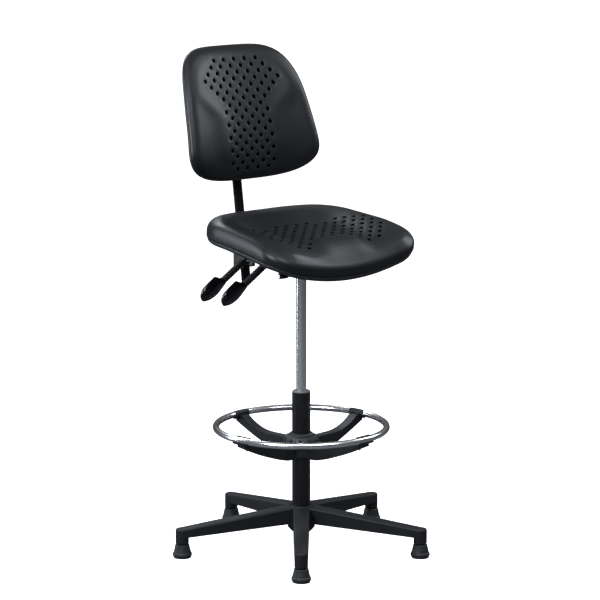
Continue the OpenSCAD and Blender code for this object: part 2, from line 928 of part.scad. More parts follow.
// Outline of the backrest at an angle: a shield, rounder below and squarer above
function back_outline(a, inset) =
    let (n = sin(a) < 0 ? 2.81 : 4.83,
         half_h = sin(a) < 0 ? back_wide_z - back_bottom : back_top - back_wide_z,
         q = pow(pow(abs(cos(a)), n) + pow(abs(sin(a)), n), -1 / n),
         z = back_wide_z + q * sin(a) * (half_h - inset),
         w = back_half_w - back_taper * (z - back_bottom) / (back_top - back_bottom))
    [q * cos(a) * (w - inset), z];

back_sides = 64;

// One ring of the backrest, scaled about its middle, at a depth behind the front surface
function back_ring(share, inset, depth) = [for (k = [0:back_sides - 1])
    let (p = back_outline(360 * k / back_sides, inset),
         x = p[0] * share,
         z = back_wide_z + (p[1] - back_wide_z) * share)
    [x, back_front_y(x, z) + depth, z]];

function back_centre(depth) = [0, back_front_y(0, back_wide_z) + depth, back_wide_z];

module back_form(rings, near, far) {
    points = concat([back_centre(near)], [for (one = rings) each one], [back_centre(far)]);
    faces = concat(first_fan(back_sides), ring_skin(len(rings), back_sides), last_fan(len(rings), back_sides));
    polyhedron(points = points, faces = [for (f = faces) [f[0], f[2], f[1]]], convexity = 6);
}

module back_pad() {
    shares = [0.2, 0.4, 0.6, 0.75, 0.88];
    turns = [-90, -65, -40, -15, 10, 36.87];
    front = [for (s = shares) back_ring(s, back_roll, 0)];
    edge = [for (e = turns) back_ring(1, back_roll * (1 - cos(e)), back_thickness / 2 * (1 + sin(e)))];
    rear = [for (s = [1, 0.88, 0.75, 0.6, 0.4, 0.2]) back_ring(s, 10, shell_depth)];
    color([0.09, 0.09, 0.10])
        on_column() back_form(concat(front, edge, rear), 0, shell_depth);
}

module back_shell() {
    shares = [0.2, 0.4, 0.6, 0.75, 0.88];
    near = [for (s = concat(shares, [1])) back_ring(s, 10, shell_depth + shell_gap)];
    rounding = [[11, 4], [15, 1], [20, 0]];
    edge = [for (p = rounding) back_ring(1, p[0], back_thickness - p[1])];
    rear = [for (s = [0.88, 0.75, 0.6, 0.4, 0.2]) back_ring(s, 20, back_thickness)];
    color([0.12, 0.12, 0.13])
        on_column() back_form(concat(near, edge, rear), shell_depth + shell_gap, back_thickness);
}

star_base();
foot_stems();
foot_bells();
foot_soles();
column_tube();
column_bushing();
tube_foot();
buffer();
thrust_bearing();
piston_rod();
piston_head();
rod_clip();
foot_ring();
ring_spider();
ring_clips();
clip_screws();
lock_collar();
gas_cylinder();
release_pin();
mechanism_housing();
cone_socket();
pivot_axle();
axle_nuts();
tilt_spring();
lever_pins();
height_rod();
height_sleeve();
height_paddle();
tilt_rod();
tilt_sleeve();
tilt_paddle();
seat_bracket();
seat_screws();
seat_board();
seat_pan();
seat_pad();
back_arms();
bar_clamp();
clamp_bolt();
back_bar();
bar_socket();
socket_screws();
back_shell();
back_pad();
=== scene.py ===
"""Looks of the drafting chair: perforated foam pads, band, shell and grips over the CAD frame.

Lengths are metres in the model's frame. The seat is described level and then pitched about its axle.
"""

import json
import math

import bpy
from mathutils import Matrix, Vector
from mathutils.geometry import delaunay_2d_cdt


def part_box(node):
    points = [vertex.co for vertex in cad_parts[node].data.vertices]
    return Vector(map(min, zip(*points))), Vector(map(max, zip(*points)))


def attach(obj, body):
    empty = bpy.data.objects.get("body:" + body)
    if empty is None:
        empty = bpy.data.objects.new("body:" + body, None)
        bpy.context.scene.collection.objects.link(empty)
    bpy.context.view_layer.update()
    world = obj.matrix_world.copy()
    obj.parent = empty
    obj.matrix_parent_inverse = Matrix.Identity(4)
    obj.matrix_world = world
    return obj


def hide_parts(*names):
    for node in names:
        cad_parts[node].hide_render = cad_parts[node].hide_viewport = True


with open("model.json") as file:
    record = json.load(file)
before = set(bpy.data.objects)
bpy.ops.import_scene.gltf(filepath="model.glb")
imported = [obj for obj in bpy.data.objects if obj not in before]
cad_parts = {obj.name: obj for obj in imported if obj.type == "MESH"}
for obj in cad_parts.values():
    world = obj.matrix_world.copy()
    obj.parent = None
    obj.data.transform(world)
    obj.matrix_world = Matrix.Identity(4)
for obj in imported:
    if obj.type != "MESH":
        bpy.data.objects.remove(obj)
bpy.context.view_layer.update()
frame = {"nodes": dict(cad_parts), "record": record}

MM = 0.001
tube_low, tube_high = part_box("column_tube")
COLUMN = Vector(((tube_low[0] + tube_high[0]) / 2, (tube_low[1] + tube_high[1]) / 2, 0))

# ---------- materials ----------

# Broad noise behind every surface's colour and roughness
CLOUD_SCALE = 14.0
CLOUD_DETAIL = 5.0
TONE_LOW = 0.3
TONE_HIGH = 0.7
ROUGHNESS_SPREAD = 0.05
# Fine noise behind its relief
FINE_DETAIL = 2.0
RELIEF_DEPTH = 0.0006
COAT_ROUGHNESS = 0.25
# Blend of the facing mask for the painted shade that darkens a surface's colour where it turns away from
# the view
PAINTED_SHADE_BLEND = 0.45


def finish(name, colour, rough, metallic=0.0, grain=900.0, bump=0.05, vary=0.12, coat=0.0,
           level=0.35, rim=0.0):
    """A principled surface whose colour, roughness and relief come from noise in object space.

    grain is the scale of the relief and bump its strength. vary is the share by which the colour
    changes, level the specular level, and rim how much darker the colour is painted where the surface
    turns away from the view: painted shade standing in for dark reflections.
    """
    m = bpy.data.materials.new(name)
    m.use_nodes = True
    tree = m.node_tree
    shader = tree.nodes["Principled BSDF"]
    place = tree.nodes.new("ShaderNodeTexCoord")
    cloud = tree.nodes.new("ShaderNodeTexNoise")
    cloud.inputs["Scale"].default_value = CLOUD_SCALE
    cloud.inputs["Detail"].default_value = CLOUD_DETAIL
    fine = tree.nodes.new("ShaderNodeTexNoise")
    fine.inputs["Scale"].default_value = grain
    fine.inputs["Detail"].default_value = FINE_DETAIL
    tone = tree.nodes.new("ShaderNodeValToRGB")
    tone.color_ramp.elements[0].position = TONE_LOW
    tone.color_ramp.elements[1].position = TONE_HIGH
    tone.color_ramp.elements[0].color = [c * (1 - vary) for c in colour] + [1]
    tone.color_ramp.elements[1].color = [min(1, c * (1 + vary)) for c in colour] + [1]
    spread = tree.nodes.new("ShaderNodeMapRange")
    spread.inputs["To Min"].default_value = max(0.02, rough - ROUGHNESS_SPREAD)
    spread.inputs["To Max"].default_value = min(1.0, rough + ROUGHNESS_SPREAD)
    relief = tree.nodes.new("ShaderNodeBump")
    relief.inputs["Strength"].default_value = bump
    relief.inputs["Distance"].default_value = RELIEF_DEPTH
    link = tree.links.new
    link(place.outputs["Object"], cloud.inputs["Vector"])
    link(place.outputs["Object"], fine.inputs["Vector"])
    link(cloud.outputs["Fac"], tone.inputs["Fac"])
    link(cloud.outputs["Fac"], spread.inputs["Value"])
    link(fine.outputs["Fac"], relief.inputs["Height"])
    link(tone.outputs["Color"], shader.inputs["Base Color"])
    link(spread.outputs["Result"], shader.inputs["Roughness"])
    link(relief.outputs["Normal"], shader.inputs["Normal"])
    shader.inputs["Metallic"].default_value = metallic
    shader.inputs["Coat Weight"].default_value = coat
    shader.inputs["Coat Roughness"].default_value = COAT_ROUGHNESS
    shader.inputs["Specular IOR Level"].default_value = level
    # Painted shade: the colour darkens where the surface turns away from the view, standing in for dark
    # reflections at a part's sides
    if rim:
        facing = tree.nodes.new("ShaderNodeLayerWeight")
        facing.inputs["Blend"].default_value = PAINTED_SHADE_BLEND
        painted_shade = tree.nodes.new("ShaderNodeMix")
        painted_shade.data_type = "RGBA"
        painted_shade.blend_type = "MULTIPLY"
        painted_shade.inputs["B"].default_value = (1 - rim, 1 - rim, 1 - rim, 1)
        link(facing.outputs["Facing"], painted_shade.inputs["Factor"])
        link(tone.outputs["Color"], painted_shade.inputs["A"])
        link(painted_shade.outputs["Result"], shader.inputs["Base Color"])
    return m


FOAM = finish("foam_skin", (0.0050, 0.0058, 0.0075), 0.40, bump=0.12, grain=1500, vary=0.05)
# Inside the perforations: near black with no sheen, a painted shade in the holes
PAINTED_HOLE_SHADE = finish("hole_painted_shade", (0.0012, 0.0012, 0.0015), 0.95, level=0.0)
BAND = finish("band_plastic", (0.016, 0.017, 0.019), 0.48, bump=0.2, grain=2200)
NYLON = finish("nylon", (0.0070, 0.0078, 0.0095), 0.50, bump=0.25, grain=1800, level=0.27)
GREY_NYLON = finish("grey_nylon", (0.014, 0.015, 0.017), 0.48, bump=0.2, grain=1800)
LIGHT_NYLON = finish("light_nylon", (0.10, 0.105, 0.11), 0.45)
GLOSS = finish("gloss_plastic", (0.003, 0.003, 0.004), 0.10, bump=0.0, level=0.5)
RUBBER = finish("rubber", (0.005, 0.005, 0.006), 0.55)
FELT = finish("sole", (0.03, 0.03, 0.032), 0.7, bump=0.4)
POWDER = finish("black_powder", (0.004, 0.004, 0.005), 0.28, bump=0.12, grain=2600, level=0.16)
TUBE = finish("tube_enamel", (0.004, 0.004, 0.005), 0.24, bump=0.03, coat=0.2)
ZINC = finish("zinc", (0.62, 0.63, 0.65), 0.32, metallic=1.0, vary=0.06)
# Both chromes darken their colour towards their outline through rim: painted shade standing in for dark
# reflections
CHROME = finish("chrome", (0.90, 0.91, 0.93), 0.20, metallic=1.0, bump=0.0, vary=0.02, rim=0.4)
SATIN_CHROME = finish("cylinder_chrome", (0.92, 0.93, 0.95), 0.24, metallic=1.0, bump=0.0, vary=0.02,
                      rim=0.25)
BOARD = finish("stained_board", (0.022, 0.021, 0.020), 0.65, bump=0.4)

BY_SLOT = {
    "skin_foam": FOAM, "pan_plastic": BAND, "nylon": NYLON, "grey_nylon": GREY_NYLON,
    "light_nylon": LIGHT_NYLON, "gloss_black": GLOSS, "rubber": RUBBER, "felt": FELT,
    "black_steel": POWDER, "plain_steel": ZINC, "chrome": CHROME, "board": BOARD,
}
# Nodes whose finish differs from the rest of their slot
SPECIAL = {"column_tube": TUBE, "gas_cylinder": SATIN_CHROME}
# Width of the softened edges
EDGE_WIDTH = {
    "star_base": 0.0022, "ring_spider": 0.0020, "lock_collar": 0.0010, "mechanism_housing": 0.0008,
    "bar_clamp": 0.0012, "bar_socket": 0.0020, "ring_clips": 0.0010, "seat_bracket": 0.0008,
    "back_arms": 0.0007, "axle_nuts": 0.0006, "back_bar": 0.0006, "seat_board": 0.0006,
}
EDGE_SEGMENTS = 3
SHARP_ANGLE = math.radians(32)

slot_of = {part["node"]: part["material_slot"] for part in frame["record"]["subparts"]}
for node, obj in frame["nodes"].items():
    obj.data.materials.clear()
    obj.data.materials.append(SPECIAL.get(node, BY_SLOT[slot_of[node]]))
    if node in EDGE_WIDTH:
        edge = obj.modifiers.new("soft_edges", "BEVEL")
        edge.width = EDGE_WIDTH[node]
        edge.segments = EDGE_SEGMENTS
        edge.limit_method = "ANGLE"
        edge.angle_limit = SHARP_ANGLE
        edge.harden_normals = True

# ---------- meshes ----------

HOLE_R = 0.0054
HOLE_SIDES = 14
# Width of the softened lip round a perforation
LIP_W = 0.0011
# Closest that another point of the surface comes to a perforation's middle
HOLE_CLEAR = 0.0099
# Distance between the rows of a triangular lattice, as a share of its pitch
ROW_SHARE = 0.866


def smooth(t):
    """0 below 0 and 1 above 1, with a soft step between."""
    t = min(1.0, max(0.0, t))
    return t * t * (3 - 2 * t)


def build(name, points, faces, material, inner=(), inner_material=None):
    """A smooth mesh object; the faces listed in inner take the second material, the painted shade of the
    perforations.
    """
    mesh = bpy.data.meshes.new(name)
    mesh.from_pydata([tuple(p) for p in points], [], faces)
    mesh.materials.append(material)
    if inner_material:
        mesh.materials.append(inner_material)
        for index in inner:
            mesh.polygons[index].material_index = 1
    for face in mesh.polygons:
        face.use_smooth = True
    mesh.validate()
    mesh.update()
    obj = bpy.data.objects.new(name, mesh)
    bpy.context.scene.collection.objects.link(obj)
    return obj


def tie(obj, body, slot, *nodes):
    """obj rides on a body and stands for the CAD nodes; slot is not used."""
    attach(obj, body)
    if nodes:
        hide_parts(*nodes)
    return obj


class Pad:
    """A closed pad: an edge of rings around a perforated top, and a plain underside."""

    def __init__(self):
        self.points = []
        self.faces = []
        self.inside = []

    def add(self, ring):
        """Adds points and gives their indices."""
        start = len(self.points)
        self.points.extend(ring)
        return list(range(start, len(self.points)))

    def bridge(self, a, b, inside=False):
        """Joins two rings of equal length; inside marks the faces as a perforation's wall, which is
        painted dark as shade.
        """
        n = len(a)
        for k in range(n):
            if inside:
                self.inside.append(len(self.faces))
            self.faces.append((a[k], a[(k + 1) % n], b[(k + 1) % n], b[k]))

    def cap(self, ring, centre, flip=False, inside=False):
        """Closes a ring with a fan."""
        middle = self.add([centre])[0]
        n = len(ring)
        for k in range(n):
            a, b = ring[k], ring[(k + 1) % n]
            if inside:
                self.inside.append(len(self.faces))
            self.faces.append((b, a, middle) if flip else (a, b, middle))

    def perforate(self, rim, rim_flat, holes, surface, depth, grid):
        """Fills the flat outline rim_flat, whose points are rim, with a surface that has holes in it.

        surface(u, v, sink) gives the point at (u, v), sink below the surface. grid holds the plain
        surface's own points.
        """
        lip = HOLE_R + LIP_W
        turn = [2 * math.pi * k / HOLE_SIDES for k in range(HOLE_SIDES)]
        flat = [Vector(p) for p in rim_flat]
        index = list(rim)
        loops = []
        for u, v in holes:
            ring = [(u + lip * math.cos(t), v + lip * math.sin(t)) for t in turn]
            ids = self.add([surface(a, b, 0.0) for a, b in ring])
            loops.append(set(range(len(flat), len(flat) + HOLE_SIDES)))
            flat.extend(Vector(p) for p in ring)
            index.extend(ids)
            self.hole(u, v, ids, turn, surface, depth)
        for u, v in grid:
            index.append(self.add([surface(u, v, 0.0)])[0])
            flat.append(Vector((u, v)))
        n = len(rim_flat)
        edges = [(k, (k + 1) % n) for k in range(n)]
        for loop in loops:
            first = min(loop)
            edges.extend((first + k, first + (k + 1) % HOLE_SIDES) for k in range(HOLE_SIDES))
        out, _, faces, origin, _, _ = delaunay_2d_cdt(flat, edges, [], 0, 1e-7)
        owner = {}
        for loop_number, loop in enumerate(loops):
            for p in loop:
                owner[p] = loop_number
        for face in faces:
            source = [origin[p][0] for p in face]
            holes_met = {owner.get(p, -1) for p in source}
            if len(holes_met) == 1 and -1 not in holes_met:
                continue
            self.faces.append(tuple(index[p] for p in source))

    def hole(self, u, v, lip_ids, turn, surface, depth):
        """One blind perforation below its lip: a rounded mouth and a slightly tapered wall."""
        last = lip_ids
        steps = [(HOLE_R + 0.0004, 0.0002), (HOLE_R, 0.0008), (HOLE_R, 0.002), (HOLE_R * 0.96, depth)]
        for number, (r, sink) in enumerate(steps):
            ring = self.add([surface(u + r * math.cos(t), v + r * math.sin(t), sink) for t in turn])
            self.bridge(last, ring, inside=number > 0)
            last = ring
        self.cap(last, surface(u, v, depth), inside=True)


def clear_of(holes, u, v):
    return all((u - a) ** 2 + (v - b) ** 2 > HOLE_CLEAR * HOLE_CLEAR for a, b in holes)


def lattice(pitch, columns, rows, middle=0.0):
    """Points of a triangular lattice; every second row is shifted by half a pitch."""
    for i in columns:
        for j in rows:
            yield (i + 0.5 * (j % 2)) * pitch, middle + j * pitch * ROW_SHARE


# ---------- seat ----------

# Plan of the seat: half-width, reach in front of and behind the column, corner radii
SEAT_HALF_W = 0.2435
SEAT_FRONT = 0.1946
SEAT_REAR = 0.2163
FRONT_R = 0.0712
REAR_R = 0.1331
# Share of an inset that comes off a corner's radius
CORNER_LOSS = 0.2
# Forward bow of the front edge, where it starts and the stretch in which it grows
SEAT_BOW = 0.0099
BOW_START = 0.05
BOW_RUN = 0.19
# Growth of the width per metre towards the front
WIDENING = 0.4265
SEAT_SIDES = 192

# Seam between pad and band: its height, and its falls to the front and the rear
SEAM_Z = 0.851
FRONT_FALL = 0.0799
FALL_START = 0.06
FALL_RUN = 0.18
FALL_AT_SIDES = 0.704
REAR_FALL = 0.0141
# Where the front and rear parts of the edge start, and the stretch in which they change
END_START = 0.05
END_RUN = 0.15
# Height of the pad's edge above the seam, and how it changes to the rear and the front
EDGE_H = 0.0503
REAR_EDGE_RISE = 0.0086
FRONT_EDGE_DROP = 0.0087

# Rolled edge: width, and the share of the edge's height that is upright below it
ROLL_W = 0.034
FLAT_SHARE = 0.35
ROLL_STEPS = 15
# The roll turns this much less at the front, from this share of the way round
FRONT_TURN_LESS = 50
FRONT_TURN_START = 0.35
FRONT_TURN_RUN = 0.4
# Share of the way out at which the top starts to blend into the edge
BLEND_START = 0.5
# Rings below the roll: share of the edge's height, and inset, as the pad tucks in to the seam
TUCK = ((0.0, 0.0060), (0.005, 0.0026), (0.03, 0.0010), (0.08, 0.0002))

# Sitting area: its height, its flat part and its climb at the sides and rear
BOWL_Z = 0.877
BOWL_HALF_W = 0.10
BOWL_SIDE_RUN = 0.115
BOWL_REAR = 0.045
BOWL_REAR_RUN = 0.11
BOWL_RISE = 0.022
# Hump between the thighs
HUMP_H = 0.014
HUMP_START = 0.082
HUMP_CURVE = 2.5
HUMP_RUN = 0.040
HUMP_HALF_W = 0.110
HUMP_SIDE_RUN = 0.065

# Field of perforations: pitch, and a superellipse round its middle
SEAT_HOLE_STEP = 0.0176
SEAT_HOLE_DEPTH = 0.009
FIELD_MIDDLE = -0.05
FIELD_HALF_W = 0.214
FIELD_FRONT = 0.108
FIELD_REAR = 0.104
FIELD_POWER = 2.6
FIELD_EDGE_GAP = 0.008
# The hump's bare part
BARE_HALF_W = 0.080
BARE_START = 0.090
SEAT_PITCH = 0.0075
RIM_GAP = 0.005

# Band under the pad: height, and inset of its lower edge
BAND_H = 0.0147
BAND_INSET = 0.0105
BAND_LIP_W = 0.003
BAND_REST = 0.014

# The seat is pitched about its axle
AXLE = Vector((0, 0.033, 0.748))
PITCH = Matrix.Rotation(math.radians(6), 3, "X")

# Board that the pad and the band close round
BOARD_HALF_W = 0.190
BOARD_FRONT = 0.128
BOARD_REAR = 0.168
BOARD_R = 0.080
BOARD_TOP = 0.848
BOARD_CLEAR = 0.0012
PAD_CLEAR = 0.0004


def pitched(p):
    """A point of the level seat, in the model's frame."""
    return PITCH @ (Vector(p) - AXLE) + AXLE + COLUMN


def plan_radius(angle, half_w, reach, r):
    """Distance to a rounded rectangle's outline."""
    c, s = abs(math.cos(angle)), abs(math.sin(angle))
    t = min(half_w / max(c, 1e-6), reach / max(s, 1e-6))
    dx, dy = half_w - r, reach - r
    if t * c <= dx or t * s <= dy:
        return t
    b = dx * c + dy * s
    return b + math.sqrt(b * b - dx * dx - dy * dy + r * r)


def seat_edge(angle, inset):
    """Point of the seat's outline, moved in by inset."""
    front = math.sin(angle) < 0
    reach, r = (SEAT_FRONT, FRONT_R) if front else (SEAT_REAR, REAR_R)
    d = plan_radius(angle, SEAT_HALF_W - inset, reach - inset, r - CORNER_LOSS * inset)
    x, y = d * math.cos(angle), d * math.sin(angle)
    y -= SEAT_BOW * max(0, 1 - (x / SEAT_HALF_W) ** 2) * min(1, max(0, (-y - BOW_START) / BOW_RUN))
    return x * (1 - WIDENING * y), y


def seat_seam(x, y):
    """Height of the seam at a point of the outline."""
    at_side = 1 - FALL_AT_SIDES * (x / SEAT_HALF_W) ** 2
    front = FRONT_FALL * (max(0, -y - FALL_START) / FALL_RUN) ** 2 * at_side
    return SEAM_Z - front - REAR_FALL * (max(0, y - END_START) / END_RUN) ** 2


def edge_height(x, y):
    """Height of the pad's edge above the seam."""
    rear = REAR_EDGE_RISE * smooth((y - END_START) / END_RUN) * (1 - 0.5 * (x / SEAT_HALF_W) ** 4)
    return EDGE_H + rear - FRONT_EDGE_DROP * smooth((-y - END_START) / END_RUN)


def bowl(x, y):
    """Top of the pad inside its edge: a bowl with a hump between the thighs."""
    side = max(0, abs(x) - BOWL_HALF_W) / BOWL_SIDE_RUN
    climb = math.hypot(side, max(0, y - BOWL_REAR) / BOWL_REAR_RUN)
    rise = smooth((-y - HUMP_START - HUMP_CURVE * x * x) / HUMP_RUN)
    hump = HUMP_H * rise * smooth((HUMP_HALF_W - abs(x)) / HUMP_SIDE_RUN)
    return BOWL_Z + BOWL_RISE * smooth(climb) + hump


seat_angles = [2 * math.pi * k / SEAT_SIDES for k in range(SEAT_SIDES)]


def roll_turn(angle):
    """How far the edge rolls over: level at the sides and rear, still sloping at the front."""
    share = smooth((-math.sin(angle) - FRONT_TURN_START) / FRONT_TURN_RUN)
    return math.radians(90 - FRONT_TURN_LESS * share)


def roll_inset(turn):
    return ROLL_W * (1 - math.cos(turn))


def roll_height(angle, turn):
    rim = seat_edge(angle, 0)
    return seat_seam(*rim) + (FLAT_SHARE + (1 - FLAT_SHARE) * math.sin(turn)) * edge_height(*rim)


def roll_ring(part):
    """Ring of the rolled edge, part of the way through its turn."""
    ring = []
    for angle in seat_angles:
        turn = part * roll_turn(angle)
        ring.append(pitched((*seat_edge(angle, roll_inset(turn)), roll_height(angle, turn))))
    return ring


def seat_surface(x, y, sink):
    """Point of the seat's top; towards the edge it blends into the rolled crest."""
    angle = math.atan2(y, x)
    turn = roll_turn(angle)
    ex, ey = seat_edge(angle, roll_inset(turn))
    share = min(1.0, math.hypot(x, y) / math.hypot(ex, ey))
    w = max(0.0, (share - BLEND_START) / (1 - BLEND_START)) ** 2
    return pitched((x, y, bowl(x, y) * (1 - w) + roll_height(angle, turn) * w - sink))


def edge_ring(share, inset):
    """Ring just above the seam, at a share of the edge's height."""
    ring = []
    for angle in seat_angles:
        x, y = seat_edge(angle, inset)
        rim = seat_edge(angle, 0)
        ring.append(pitched((x, y, seat_seam(*rim) + share * edge_height(*rim))))
    return ring


def board_ring(z):
    """Ring round the board, a little clear of it."""
    ring = []
    for angle in seat_angles:
        reach = BOARD_FRONT if math.sin(angle) < 0 else BOARD_REAR
        d = plan_radius(angle, BOARD_HALF_W + BOARD_CLEAR, reach + BOARD_CLEAR, BOARD_R + BOARD_CLEAR)
        ring.append(pitched((d * math.cos(angle), d * math.sin(angle), z)))
    return ring


def seat_holes():
    """Staggered blind holes over the sitting area, left out on the hump."""
    holes = []
    for i in range(-12, 13):
        for j in range(-10, 7):
            if (i + j) % 2:
                continue
            x, y = i * SEAT_HOLE_STEP, j * SEAT_HOLE_STEP
            reach = FIELD_FRONT if y < FIELD_MIDDLE else FIELD_REAR
            across = (abs(x) / FIELD_HALF_W) ** FIELD_POWER
            along = (abs(y - FIELD_MIDDLE) / reach) ** FIELD_POWER
            ex, ey = seat_edge(math.atan2(y, x), ROLL_W + FIELD_EDGE_GAP)
            too_far_out = math.hypot(x, y) > math.hypot(ex, ey)
            on_hump = abs(x) < BARE_HALF_W and y < -BARE_START - HUMP_CURVE * x * x
            if across + along < 1 and not too_far_out and not on_hump:
                holes.append((x, y))
    return holes


def make_seat_pad():
    """The seat's foam: tucked edge, roll, perforated top and a plain underside round the board."""
    pad = Pad()
    rings = [edge_ring(share, inset) for share, inset in TUCK]
    rings += [roll_ring(step / ROLL_STEPS) for step in range(ROLL_STEPS + 1)]
    ids = [pad.add(r) for r in rings]
    for low, high in zip(ids, ids[1:]):
        pad.bridge(low, high)
    rim_flat = [seat_edge(a, roll_inset(roll_turn(a))) for a in seat_angles]
    holes = seat_holes()
    grid = []
    for x, y in lattice(SEAT_PITCH, range(-33, 34), range(-28, 30)):
        angle = math.atan2(y, x)
        ex, ey = seat_edge(angle, roll_inset(roll_turn(angle)))
        if math.hypot(x, y) < math.hypot(ex, ey) - RIM_GAP and clear_of(holes, x, y):
            grid.append((x, y))
    pad.perforate(ids[-1], rim_flat, holes, seat_surface, SEAT_HOLE_DEPTH, grid)
    under = pad.add(board_ring(BOARD_TOP + PAD_CLEAR))
    pad.bridge(under, ids[0])
    pad.cap(under, pitched((0, 0, BOARD_TOP + PAD_CLEAR)), flip=True)
    obj = build("seat_cushion", pad.points, pad.faces, FOAM, pad.inside, PAINTED_HOLE_SHADE)
    tie(obj, "seat", "skin_foam", "seat_pad")


def make_seat_band():
    """Dark grey band that follows the seam and turns in under the seat."""
    band = Pad()

    def drop(inset, down):
        """Ring inside the outline and below the seam."""
        ring = []
        for angle in seat_angles:
            x, y = seat_edge(angle, inset)
            ring.append(pitched((x, y, seat_seam(*seat_edge(angle, 0)) - down)))
        return ring

    rings = [board_ring(BOARD_TOP), drop(0.0062, 0.0006), drop(0.0034, 0.0018), drop(0.0026, 0.0032),
             drop(0.0036, 0.007), drop(0.0066, 0.0115), drop(BAND_INSET, BAND_H),
             drop(BAND_INSET + BAND_LIP_W, BAND_H), board_ring(BOARD_TOP - BAND_REST)]
    ids = [band.add(r) for r in rings]
    for high, low in zip(ids, ids[1:] + ids[:1]):
        band.bridge(low, high)
    tie(build("seat_band", band.points, band.faces, BAND), "seat", "pan_plastic", "seat_pan")


# ---------- backrest ----------

# Outline: two half superellipses that meet at the widest height, narrower towards the top
BACK_HALF_W = 0.2369
BACK_TAPER = 0.0434
BACK_LOW = 0.9851
BACK_HIGH = 1.342
BACK_WIDE = 1.0918
LOW_POWER = 2.81
HIGH_POWER = 4.83
BACK_SIDES = 192

# Front surface: its place, its lean back above the lumbar height, and its wrap round the sitter
BACK_Y = 0.199
LUMBAR_Z = 1.040
LEAN = 0.0186
LEAN_POWER = 1.5
WRAP = 0.68
UPPER_WRAP = 0.10
WRAP_Z = 1.15
WRAP_RUN = 0.11

# Section: thickness, width of the rolled edge, and the turns at which the roll starts and meets the shell
BACK_T = 0.040
BACK_ROLL = 0.035
ROLL_START = 60
SEAM_TURN = 36.87
FLAT_INSET = BACK_ROLL * (1 - math.cos(math.radians(ROLL_START)))

# Rear shell: depth of its seam, inset of its edge, and clearance from the pad
SHELL_DEPTH = 0.032
SHELL_INSET = 0.010
SHELL_BACK_INSET = 0.018
SHELL_CLEAR = 0.0008
INNER_SHARES = (0.85, 0.6, 0.3)

# Perforations: height of the top row, distance between rows and between holes, and depth
TOP_ROW_Z = 1.3061
ROW_STEP = 0.0169
HOLE_STEP = 0.0362
BACK_HOLE_DEPTH = 0.012
BACK_PITCH = 0.0085
BACK_RIM_GAP = 0.004

# Perforated panel: half-width over the spine, its spread above and its narrowing at the top
PANEL_NECK = 0.088
PANEL_SPREAD = 0.062
SPREAD_Z = 1.15
SPREAD_RUN = 0.09
TOP_CUT = 0.045
TOP_CUT_Z = 1.262
TOP_CUT_RUN = 0.06
# Ridge beside it: height, width, and where it fades out below and above
RIDGE_H = 0.0028
RIDGE_W = 0.030
RIDGE_OFFSET = 0.2
RIDGE_LOW_Z = 1.02
RIDGE_LOW_RUN = 0.06
RIDGE_HIGH_Z = 1.325
RIDGE_HIGH_RUN = 0.04
EDGE_FADE = 0.12

back_angles = [2 * math.pi * k / BACK_SIDES for k in range(BACK_SIDES)]


def back_holes():
    """Eighteen staggered rows, wide below the top and narrow over the spine."""
    counts = [5, 6, 7, 8, 7, 6] + [5, 4] * 6
    holes = []
    for row, count in enumerate(counts):
        z = TOP_ROW_Z - ROW_STEP * row
        for k in range(count):
            holes.append(((k - (count - 1) / 2) * HOLE_STEP, z))
    return holes


def panel_half_width(z):
    """Half-width of the perforated panel."""
    spread = PANEL_SPREAD * smooth((z - SPREAD_Z) / SPREAD_RUN)
    return PANEL_NECK + spread - TOP_CUT * smooth((z - TOP_CUT_Z) / TOP_CUT_RUN)


def back_front(x, z):
    """Y of the front surface; the lean is worked out in millimetres."""
    lean = LEAN * max(0, 1000 * (z - LUMBAR_Z)) ** LEAN_POWER * MM
    wrap = (WRAP + UPPER_WRAP * smooth((z - WRAP_Z) / WRAP_RUN)) * x * x
    return BACK_Y + lean - wrap


def back_relief(x, z):
    """A soft ridge beside the panel."""
    away = (abs(x) - panel_half_width(z)) / RIDGE_W
    fade = smooth((z - RIDGE_LOW_Z) / RIDGE_LOW_RUN) * smooth((RIDGE_HIGH_Z - z) / RIDGE_HIGH_RUN)
    return -RIDGE_H * math.exp(-(away - RIDGE_OFFSET) ** 2) * fade


def back_half(low, inset):
    """Power and half-height of the outline's lower or upper half."""
    if low:
        return LOW_POWER, BACK_WIDE - BACK_LOW - inset
    return HIGH_POWER, BACK_HIGH - BACK_WIDE - inset


def back_half_width(z, inset):
    return BACK_HALF_W - BACK_TAPER * (z - BACK_LOW) / (BACK_HIGH - BACK_LOW) - inset


def back_outline(angle, inset):
    """Point (x, z) of the outline, moved in by inset."""
    n, half_h = back_half(math.sin(angle) < 0, inset)
    q = (abs(math.cos(angle)) ** n + abs(math.sin(angle)) ** n) ** (-1 / n)
    z = BACK_WIDE + q * math.sin(angle) * half_h
    return q * math.cos(angle) * back_half_width(z, inset), z


def back_ring(inset, depth, share=1.0):
    """Ring behind the front surface, drawn towards the middle by share."""
    ring = []
    for angle in back_angles:
        x, z = back_outline(angle, inset)
        x, z = x * share, BACK_WIDE + (z - BACK_WIDE) * share
        ring.append(COLUMN + Vector((x, back_front(x, z) + depth, z)))
    return ring


def back_share(x, z, inset):
    """1 on the outline with that inset, less inside it."""
    n, half_h = back_half(z < BACK_WIDE, inset)
    w = back_half_width(z, inset)
    return ((abs(x) / w) ** n + (abs(z - BACK_WIDE) / half_h) ** n) ** (1 / n)


def rolled_back(x, z):
    """How far the rolled edge has turned back at (x, z)."""
    if back_share(x, z, BACK_ROLL) <= 1:
        return 0.0
    low, high = 0.0, BACK_ROLL
    for _ in range(14):
        middle = (low + high) / 2
        if back_share(x, z, middle) < 1:
            low = middle
        else:
            high = middle
    return BACK_T / 2 * (1 - math.sqrt(1 - (1 - low / BACK_ROLL) ** 2))


def back_surface(x, z, sink):
    """Point of the back pad's front, sink behind its surface."""
    relief = back_relief(x, z) * smooth((1 - back_share(x, z, FLAT_INSET)) / EDGE_FADE)
    return COLUMN + Vector((x, back_front(x, z) + rolled_back(x, z) + relief + sink, z))


def back_middle(depth):
    return COLUMN + Vector((0, back_front(0, BACK_WIDE) + depth, BACK_WIDE))


